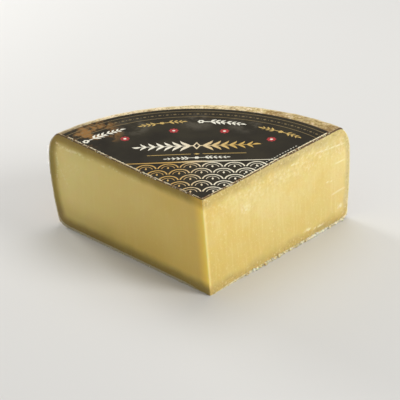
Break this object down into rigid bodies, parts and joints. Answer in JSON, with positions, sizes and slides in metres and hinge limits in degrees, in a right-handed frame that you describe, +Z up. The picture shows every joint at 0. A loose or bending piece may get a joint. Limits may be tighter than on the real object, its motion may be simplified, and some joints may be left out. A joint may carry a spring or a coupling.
{
  "type": "alpine cheese",
  "caption": "Quarter wheel of hard alpine cheese with a tan rind, a dark paper label on its top and a small blank paper tag on its heel.",
  "frame": {"origin": "bottom centre of the bounding box, on the surface that the wedge lies on", "axes": "+Z up through the wheel's thickness; the wedge's point is towards -Y and its heel towards +Y; +X is to the right when looking at the point"},
  "size_m": [0.2152, 0.1506, 0.0769],
  "materials": {
    "cheese": "satin",
    "top_label": "satin",
    "heel_tag": "matte"
  },
  "bodies": {
    "root": {"cheese": "cheese", "top_label": "top_label", "heel_tag": "heel_tag"}
  },
  "joints": []
}
